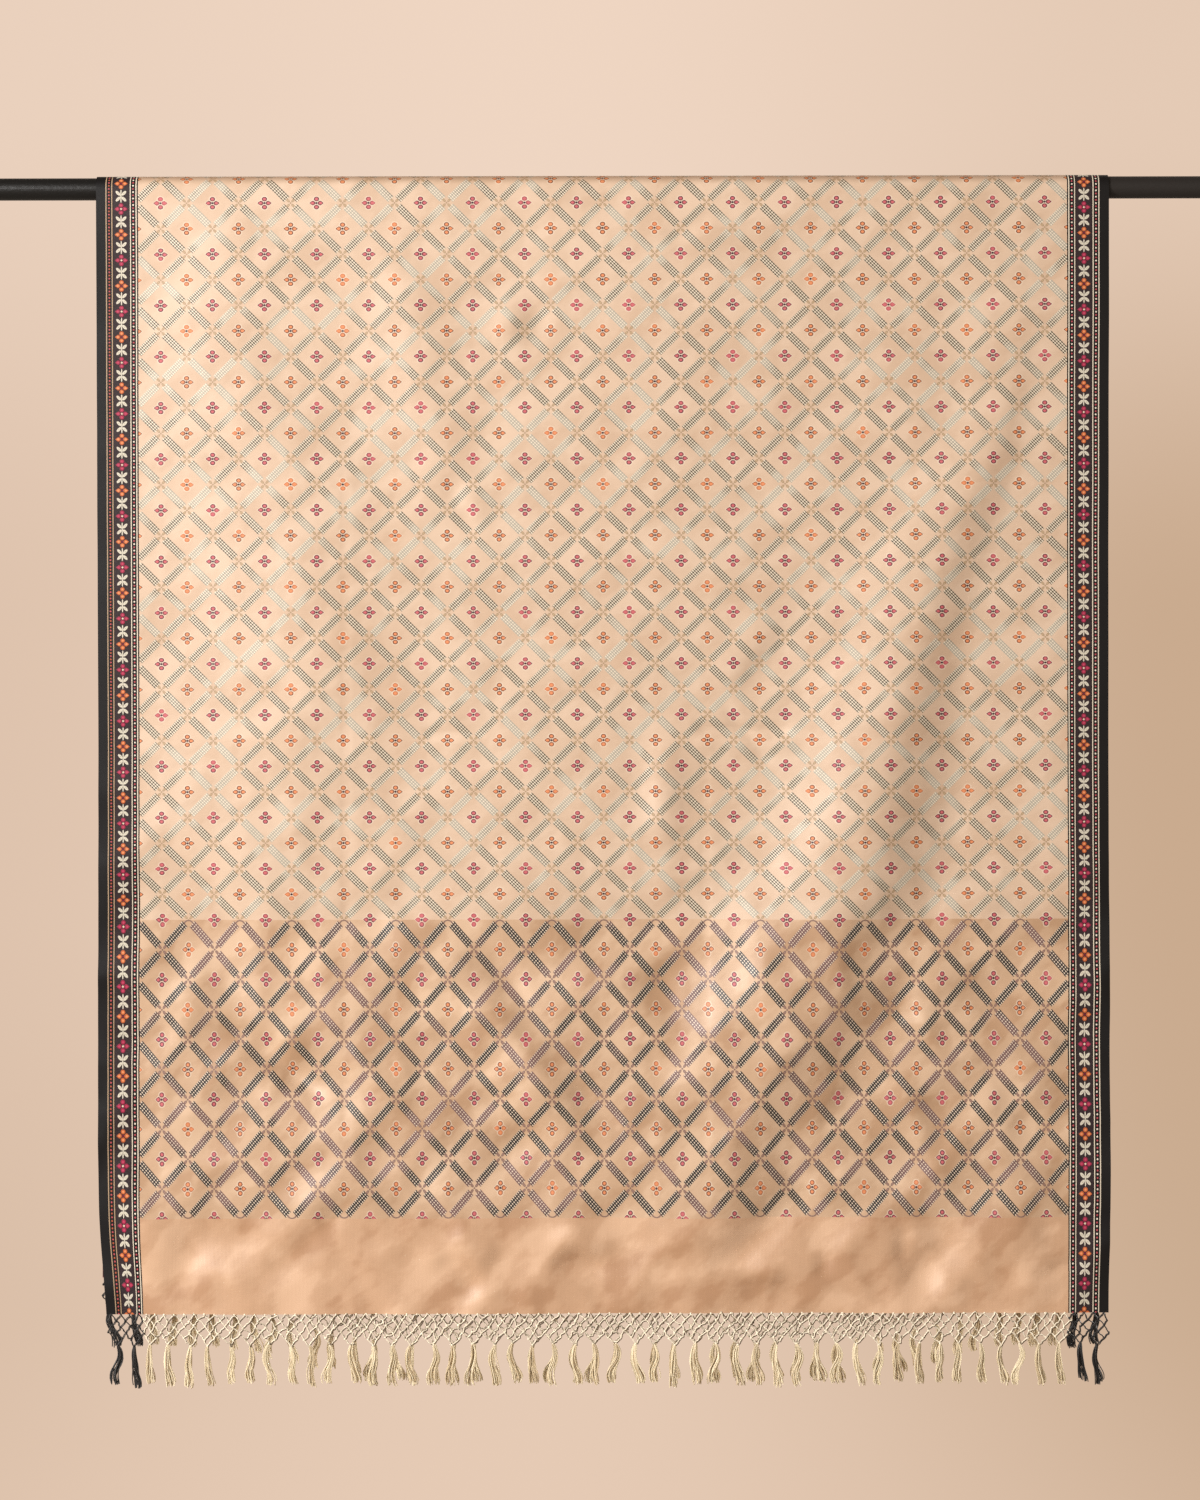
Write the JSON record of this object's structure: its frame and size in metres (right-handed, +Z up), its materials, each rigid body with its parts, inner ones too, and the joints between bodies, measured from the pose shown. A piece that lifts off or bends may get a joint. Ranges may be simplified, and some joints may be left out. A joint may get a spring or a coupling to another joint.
{
  "type": "dupatta stole on a hanging rod",
  "caption": "Woven satin dupatta stole with lattice and flower motifs, dark flowered borders and a knotted tasselled fringe, draped over a round black rod.",
  "frame": {"origin": "on the axis of the rod, half way along it", "axes": "+X along the rod towards the right of the stole's front, -Y out of the front of the cloth, +Z up"},
  "size_m": [1.3, 0.0565, 1.2165],
  "materials": {
    "rod": "satin black coating",
    "field": "peach satin with a silver lattice and small pink and orange flowers",
    "pallu": "peach satin with a dark lattice and small pink and orange flowers",
    "end_band": "plain peach satin",
    "border": "near-black weave with a flower chain, bead rows and white lines",
    "fringe_cream": "twisted cream yarn",
    "fringe_black": "twisted black yarn"
  },
  "bodies": {
    "root": {"hanging_rod": "rod", "field_over_rod": "field", "border_over_rod_left": "border", "border_over_rod_right": "border", "field_front": "field", "pallu_front": "pallu", "end_band_front": "end_band", "border_front_left": "border", "border_front_right": "border", "fringe_net_front": "fringe_cream", "tassels_front": "fringe_cream", "fringe_net_front_left": "fringe_black", "tassels_front_left": "fringe_black", "fringe_net_front_right": "fringe_black", "tassels_front_right": "fringe_black", "field_back": "field", "pallu_back": "pallu", "end_band_back": "end_band", "border_back_left": "border", "border_back_right": "border", "fringe_net_back": "fringe_cream", "tassels_back": "fringe_cream", "fringe_net_back_left": "fringe_black", "tassels_back_left": "fringe_black", "fringe_net_back_right": "fringe_black", "tassels_back_right": "fringe_black"}
  },
  "joints": []
}
